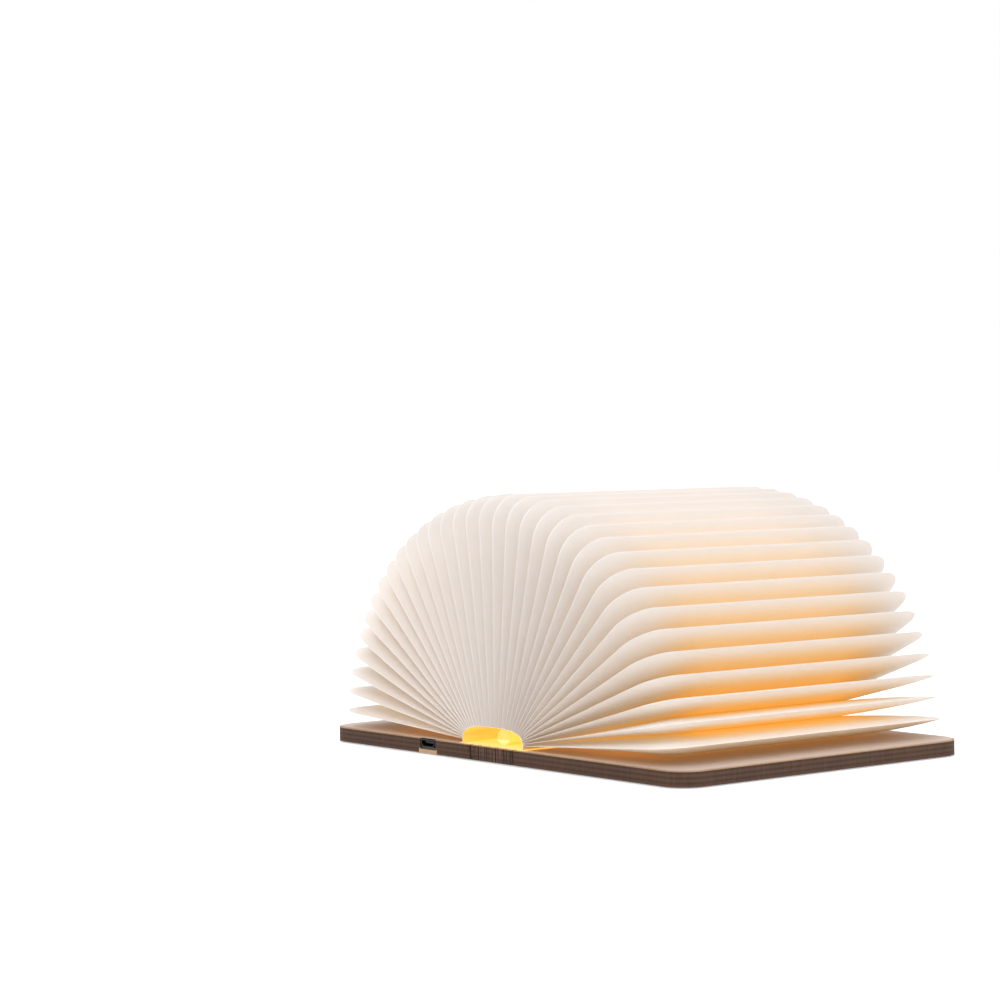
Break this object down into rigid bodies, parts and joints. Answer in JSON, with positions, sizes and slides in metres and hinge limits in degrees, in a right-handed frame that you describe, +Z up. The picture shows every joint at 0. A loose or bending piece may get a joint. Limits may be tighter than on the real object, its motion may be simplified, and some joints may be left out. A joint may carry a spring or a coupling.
{
  "type": "folding book lamp",
  "caption": "Lamp shaped like a small hardcover book: two wooden covers on a slit bending spine open flat and spread a glowing fan of paper leaves over a light bar.",
  "frame": {"origin": "middle of the spine on the plane that the open lamp rests on", "axes": "+X from the spine to the back cover's fore edge, +Y along the spine from tail to head, +Z up; the lamp is stored open flat, so the front cover lies towards -X"},
  "size_m": [0.182, 0.122, 0.0854],
  "materials": {
    "cover_board": "matte warm-white print on the outer face, dark laser-cut edges",
    "lining": "matte paper",
    "page_paper": "matte synthetic paper lit from inside",
    "bar_base": "satin",
    "strip_board": "white solder mask",
    "led": "phosphor window",
    "diffuser": "frosted, glowing",
    "battery_foil": "satin foil",
    "circuit_board": "green solder mask",
    "chips": "moulded black",
    "socket_steel": "plated",
    "lead_jacket": "silicone jacket",
    "magnet": "nickel plated"
  },
  "bodies": {
    "spine": {"spine_rib_3": "cover_board", "spine_lining_3": "lining", "light_bar_base": "bar_base", "led_strip_board": "strip_board", "leds": "led", "light_diffuser": "diffuser"},
    "front_inner_rib": {"spine_rib_2": "cover_board", "spine_lining_2": "lining"},
    "front_outer_rib": {"spine_rib_1": "cover_board", "spine_lining_1": "lining"},
    "front_board": {"front_cover": "cover_board", "front_lining": "lining", "battery": "battery_foil", "charging_board": "circuit_board", "charging_board_parts": "chips", "usb_socket": "socket_steel", "leads": "lead_jacket", "front_magnets": "magnet"},
    "back_inner_rib": {"spine_rib_4": "cover_board", "spine_lining_4": "lining"},
    "back_outer_rib": {"spine_rib_5": "cover_board", "spine_lining_5": "lining"},
    "back_board": {"back_cover": "cover_board", "back_lining": "lining", "back_magnets": "magnet"},
    "leaf_01": {"page_01": "page_paper"},
    "leaf_02": {"page_02": "page_paper"},
    "leaf_03": {"page_03": "page_paper"},
    "leaf_04": {"page_04": "page_paper"},
    "leaf_05": {"page_05": "page_paper"},
    "leaf_06": {"page_06": "page_paper"},
    "leaf_07": {"page_07": "page_paper"},
    "leaf_08": {"page_08": "page_paper"},
    "leaf_09": {"page_09": "page_paper"},
    "leaf_10": {"page_10": "page_paper"},
    "leaf_11": {"page_11": "page_paper"},
    "leaf_12": {"page_12": "page_paper"},
    "leaf_13": {"page_13": "page_paper"},
    "leaf_14": {"page_14": "page_paper"},
    "leaf_15": {"page_15": "page_paper"},
    "leaf_16": {"page_16": "page_paper"},
    "leaf_17": {"page_17": "page_paper"},
    "leaf_18": {"page_18": "page_paper"},
    "leaf_19": {"page_19": "page_paper"},
    "leaf_20": {"page_20": "page_paper"},
    "leaf_21": {"page_21": "page_paper"},
    "leaf_22": {"page_22": "page_paper"},
    "leaf_23": {"page_23": "page_paper"},
    "leaf_24": {"page_24": "page_paper"},
    "leaf_25": {"page_25": "page_paper"},
    "leaf_26": {"page_26": "page_paper"},
    "leaf_27": {"page_27": "page_paper"},
    "leaf_28": {"page_28": "page_paper"},
    "leaf_29": {"page_29": "page_paper"},
    "leaf_30": {"page_30": "page_paper"},
    "leaf_31": {"page_31": "page_paper"},
    "leaf_32": {"page_32": "page_paper"},
    "leaf_33": {"page_33": "page_paper"},
    "leaf_34": {"page_34": "page_paper"}
  },
  "joints": [
    {"name": "front_cover_fold", "type": "hinge", "parent": "spine", "child": "front_board", "pos_m": [-0.0066, 0, 0.00581], "axis": [0, 1, 0], "range_deg": [0, 90]},
    {"name": "front_rib_fold_1", "type": "hinge", "parent": "spine", "child": "front_inner_rib", "pos_m": [-0.0022, 0, 0.0042], "axis": [0, 1, 0], "range_deg": [0, 30.01]},
    {"name": "front_rib_fold_2", "type": "hinge", "parent": "spine", "child": "front_outer_rib", "pos_m": [-0.0044, 0, 0.00479], "axis": [0, 1, 0], "range_deg": [0, 60.01]},
    {"name": "back_cover_fold", "type": "hinge", "parent": "spine", "child": "back_board", "pos_m": [0.0066, 0, 0.00581], "axis": [0, -1, 0], "range_deg": [0, 90]},
    {"name": "back_rib_fold_1", "type": "hinge", "parent": "spine", "child": "back_inner_rib", "pos_m": [0.0022, 0, 0.0042], "axis": [0, -1, 0], "range_deg": [0, 30.01]},
    {"name": "back_rib_fold_2", "type": "hinge", "parent": "spine", "child": "back_outer_rib", "pos_m": [0.0044, 0, 0.00479], "axis": [0, -1, 0], "range_deg": [0, 60.01]},
    {"name": "page_turn_01", "type": "hinge", "parent": "spine", "child": "leaf_01", "pos_m": [-0.0066, 0, 0.00575], "axis": [0, 1, 0], "range_deg": [0, 86.06]},
    {"name": "page_turn_02", "type": "hinge", "parent": "spine", "child": "leaf_02", "pos_m": [-0.0062, 0, 0.0058], "axis": [0, 1, 0], "range_deg": [0, 80.9]},
    {"name": "page_turn_03", "type": "hinge", "parent": "spine", "child": "leaf_03", "pos_m": [-0.0058, 0, 0.00563], "axis": [0, 1, 0], "range_deg": [0, 75.58]},
    {"name": "page_turn_04", "type": "hinge", "parent": "spine", "child": "leaf_04", "pos_m": [-0.0054, 0, 0.00537], "axis": [0, 1, 0], "range_deg": [0, 70.19]},
    {"name": "page_turn_05", "type": "hinge", "parent": "spine", "child": "leaf_05", "pos_m": [-0.005, 0, 0.00506], "axis": [0, 1, 0], "range_deg": [0, 64.79]},
    {"name": "page_turn_06", "type": "hinge", "parent": "spine", "child": "leaf_06", "pos_m": [-0.0046, 0, 0.00473], "axis": [0, 1, 0], "range_deg": [0, 59.4]},
    {"name": "page_turn_07", "type": "hinge", "parent": "spine", "child": "leaf_07", "pos_m": [-0.0042, 0, 0.00438], "axis": [0, 1, 0], "range_deg": [0, 54.02]},
    {"name": "page_turn_08", "type": "hinge", "parent": "spine", "child": "leaf_08", "pos_m": [-0.0038, 0, 0.00402], "axis": [0, 1, 0], "range_deg": [0, 48.68]},
    {"name": "page_turn_09", "type": "hinge", "parent": "spine", "child": "leaf_09", "pos_m": [-0.0034, 0, 0.00367], "axis": [0, 1, 0], "range_deg": [0, 43.37]},
    {"name": "page_turn_10", "type": "hinge", "parent": "spine", "child": "leaf_10", "pos_m": [-0.003, 0, 0.00333], "axis": [0, 1, 0], "range_deg": [0, 38.1]},
    {"name": "page_turn_11", "type": "hinge", "parent": "spine", "child": "leaf_11", "pos_m": [-0.0026, 0, 0.00299], "axis": [0, 1, 0], "range_deg": [0, 32.88]},
    {"name": "page_turn_12", "type": "hinge", "parent": "spine", "child": "leaf_12", "pos_m": [-0.0022, 0, 0.00267], "axis": [0, 1, 0], "range_deg": [0, 27.71]},
    {"name": "page_turn_13", "type": "hinge", "parent": "spine", "child": "leaf_13", "pos_m": [-0.0018, 0, 0.00236], "axis": [0, 1, 0], "range_deg": [0, 22.58]},
    {"name": "page_turn_14", "type": "hinge", "parent": "spine", "child": "leaf_14", "pos_m": [-0.0014, 0, 0.00206], "axis": [0, 1, 0], "range_deg": [0, 17.5]},
    {"name": "page_turn_15", "type": "hinge", "parent": "spine", "child": "leaf_15", "pos_m": [-0.001, 0, 0.00179], "axis": [0, 1, 0], "range_deg": [0, 12.46]},
    {"name": "page_turn_16", "type": "hinge", "parent": "spine", "child": "leaf_16", "pos_m": [-0.0006, 0, 0.00154], "axis": [0, 1, 0], "range_deg": [0, 7.45]},
    {"name": "page_turn_17", "type": "hinge", "parent": "spine", "child": "leaf_17", "pos_m": [-0.0002, 0, 0.00132], "axis": [0, 1, 0], "range_deg": [0, 2.48]},
    {"name": "page_turn_18", "type": "hinge", "parent": "spine", "child": "leaf_18", "pos_m": [0.0002, 0, 0.00132], "axis": [0, -1, 0], "range_deg": [0, 2.48]},
    {"name": "page_turn_19", "type": "hinge", "parent": "spine", "child": "leaf_19", "pos_m": [0.0006, 0, 0.00154], "axis": [0, -1, 0], "range_deg": [0, 7.45]},
    {"name": "page_turn_20", "type": "hinge", "parent": "spine", "child": "leaf_20", "pos_m": [0.001, 0, 0.00179], "axis": [0, -1, 0], "range_deg": [0, 12.46]},
    {"name": "page_turn_21", "type": "hinge", "parent": "spine", "child": "leaf_21", "pos_m": [0.0014, 0, 0.00206], "axis": [0, -1, 0], "range_deg": [0, 17.5]},
    {"name": "page_turn_22", "type": "hinge", "parent": "spine", "child": "leaf_22", "pos_m": [0.0018, 0, 0.00236], "axis": [0, -1, 0], "range_deg": [0, 22.58]},
    {"name": "page_turn_23", "type": "hinge", "parent": "spine", "child": "leaf_23", "pos_m": [0.0022, 0, 0.00267], "axis": [0, -1, 0], "range_deg": [0, 27.71]},
    {"name": "page_turn_24", "type": "hinge", "parent": "spine", "child": "leaf_24", "pos_m": [0.0026, 0, 0.00299], "axis": [0, -1, 0], "range_deg": [0, 32.88]},
    {"name": "page_turn_25", "type": "hinge", "parent": "spine", "child": "leaf_25", "pos_m": [0.003, 0, 0.00333], "axis": [0, -1, 0], "range_deg": [0, 38.1]},
    {"name": "page_turn_26", "type": "hinge", "parent": "spine", "child": "leaf_26", "pos_m": [0.0034, 0, 0.00367], "axis": [0, -1, 0], "range_deg": [0, 43.37]},
    {"name": "page_turn_27", "type": "hinge", "parent": "spine", "child": "leaf_27", "pos_m": [0.0038, 0, 0.00402], "axis": [0, -1, 0], "range_deg": [0, 48.68]},
    {"name": "page_turn_28", "type": "hinge", "parent": "spine", "child": "leaf_28", "pos_m": [0.0042, 0, 0.00438], "axis": [0, -1, 0], "range_deg": [0, 54.02]},
    {"name": "page_turn_29", "type": "hinge", "parent": "spine", "child": "leaf_29", "pos_m": [0.0046, 0, 0.00473], "axis": [0, -1, 0], "range_deg": [0, 59.4]},
    {"name": "page_turn_30", "type": "hinge", "parent": "spine", "child": "leaf_30", "pos_m": [0.005, 0, 0.00506], "axis": [0, -1, 0], "range_deg": [0, 64.79]},
    {"name": "page_turn_31", "type": "hinge", "parent": "spine", "child": "leaf_31", "pos_m": [0.0054, 0, 0.00537], "axis": [0, -1, 0], "range_deg": [0, 70.19]},
    {"name": "page_turn_32", "type": "hinge", "parent": "spine", "child": "leaf_32", "pos_m": [0.0058, 0, 0.00563], "axis": [0, -1, 0], "range_deg": [0, 75.58]},
    {"name": "page_turn_33", "type": "hinge", "parent": "spine", "child": "leaf_33", "pos_m": [0.0062, 0, 0.0058], "axis": [0, -1, 0], "range_deg": [0, 80.9]},
    {"name": "page_turn_34", "type": "hinge", "parent": "spine", "child": "leaf_34", "pos_m": [0.0066, 0, 0.00575], "axis": [0, -1, 0], "range_deg": [0, 86.06]}
  ],
  "couplings": [
    {"joint": "front_rib_fold_1", "follows": "front_cover_fold", "ratio": 0.33333},
    {"joint": "front_rib_fold_2", "follows": "front_cover_fold", "ratio": 0.66667},
    {"joint": "back_rib_fold_1", "follows": "back_cover_fold", "ratio": 0.33333},
    {"joint": "back_rib_fold_2", "follows": "back_cover_fold", "ratio": 0.66667},
    {"joint": "page_turn_01", "follows": "front_cover_fold", "ratio": 0.95612},
    {"joint": "page_turn_02", "follows": "front_cover_fold", "ratio": 0.89877},
    {"joint": "page_turn_03", "follows": "front_cover_fold", "ratio": 0.83961},
    {"joint": "page_turn_04", "follows": "front_cover_fold", "ratio": 0.7798},
    {"joint": "page_turn_05", "follows": "front_cover_fold", "ratio": 0.71979},
    {"joint": "page_turn_06", "follows": "front_cover_fold", "ratio": 0.65984},
    {"joint": "page_turn_07", "follows": "front_cover_fold", "ratio": 0.60011},
    {"joint": "page_turn_08", "follows": "front_cover_fold", "ratio": 0.54073},
    {"joint": "page_turn_09", "follows": "front_cover_fold", "ratio": 0.48176},
    {"joint": "page_turn_10", "follows": "front_cover_fold", "ratio": 0.42326},
    {"joint": "page_turn_11", "follows": "front_cover_fold", "ratio": 0.36526},
    {"joint": "page_turn_12", "follows": "front_cover_fold", "ratio": 0.30776},
    {"joint": "page_turn_13", "follows": "front_cover_fold", "ratio": 0.25078},
    {"joint": "page_turn_14", "follows": "front_cover_fold", "ratio": 0.19429},
    {"joint": "page_turn_15", "follows": "front_cover_fold", "ratio": 0.13828},
    {"joint": "page_turn_16", "follows": "front_cover_fold", "ratio": 0.082697},
    {"joint": "page_turn_17", "follows": "front_cover_fold", "ratio": 0.027488},
    {"joint": "page_turn_18", "follows": "back_cover_fold", "ratio": 0.027488},
    {"joint": "page_turn_19", "follows": "back_cover_fold", "ratio": 0.082697},
    {"joint": "page_turn_20", "follows": "back_cover_fold", "ratio": 0.13828},
    {"joint": "page_turn_21", "follows": "back_cover_fold", "ratio": 0.19429},
    {"joint": "page_turn_22", "follows": "back_cover_fold", "ratio": 0.25078},
    {"joint": "page_turn_23", "follows": "back_cover_fold", "ratio": 0.30776},
    {"joint": "page_turn_24", "follows": "back_cover_fold", "ratio": 0.36526},
    {"joint": "page_turn_25", "follows": "back_cover_fold", "ratio": 0.42326},
    {"joint": "page_turn_26", "follows": "back_cover_fold", "ratio": 0.48176},
    {"joint": "page_turn_27", "follows": "back_cover_fold", "ratio": 0.54073},
    {"joint": "page_turn_28", "follows": "back_cover_fold", "ratio": 0.60011},
    {"joint": "page_turn_29", "follows": "back_cover_fold", "ratio": 0.65984},
    {"joint": "page_turn_30", "follows": "back_cover_fold", "ratio": 0.71979},
    {"joint": "page_turn_31", "follows": "back_cover_fold", "ratio": 0.7798},
    {"joint": "page_turn_32", "follows": "back_cover_fold", "ratio": 0.83961},
    {"joint": "page_turn_33", "follows": "back_cover_fold", "ratio": 0.89877},
    {"joint": "page_turn_34", "follows": "back_cover_fold", "ratio": 0.95612}
  ]
}
